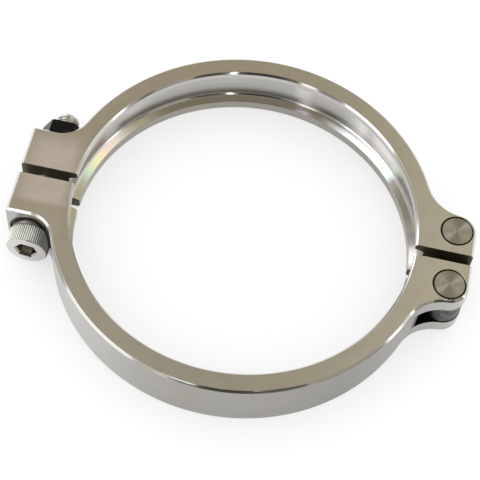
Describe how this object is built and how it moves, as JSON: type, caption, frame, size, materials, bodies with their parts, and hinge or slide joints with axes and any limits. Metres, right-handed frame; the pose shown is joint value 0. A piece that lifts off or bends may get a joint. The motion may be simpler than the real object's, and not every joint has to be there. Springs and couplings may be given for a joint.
{
  "type": "v band clamp",
  "caption": "Machined V band clamp: two hinged half rings with an inner V groove, drawn together by a cross screw and nut.",
  "frame": {"origin": "on the band's axis, half way up the band, in the plane where the halves part", "axes": "+Z along the band's axis, out of the face on the groove's side; +X towards the hinge, -X towards the screw; the screw's head is on the -Y side"},
  "size_m": [0.1456, 0.122, 0.02],
  "materials": {
    "band": "satin machined stainless steel",
    "pins": "turned steel",
    "link": "matt dark phosphated steel",
    "screw": "bright stainless steel",
    "nut": "black oxide steel"
  },
  "bodies": {
    "back_band": {"back_half": "band", "back_hinge_pin": "pins"},
    "link": {"hinge_link": "link"},
    "front_band": {"front_half": "band", "front_hinge_pin": "pins"},
    "screw": {"clamp_screw": "screw"},
    "nut": {"clamp_nut": "nut"}
  },
  "joints": [
    {"name": "screw_turn", "type": "hinge", "parent": "front_band", "child": "screw", "pos_m": [-0.0647, 0, 0], "axis": [0, 1, 0], "range_deg": [-1350, 810]},
    {"name": "link_swing", "type": "hinge", "parent": "back_band", "child": "link", "pos_m": [0.0666, 0.00975, 0], "axis": [0, 0, -1], "range_deg": [-1.1, 0.62]},
    {"name": "front_swing", "type": "hinge", "parent": "link", "child": "front_band", "pos_m": [0.0666, -0.00975, 0], "axis": [0, 0, -1], "range_deg": [-1.1, 0.62]},
    {"name": "nut_travel", "type": "slide", "parent": "front_band", "child": "nut", "axis": [0, 1, 0], "range_m": [-0.00282, 0.0047]}
  ],
  "couplings": [
    {"joint": "link_swing", "follows": "screw_turn", "ratio": 0.00075759},
    {"joint": "front_swing", "follows": "screw_turn", "ratio": 0.00075759},
    {"joint": "nut_travel", "follows": "screw_turn", "m_per_rad": -0.00019894}
  ]
}
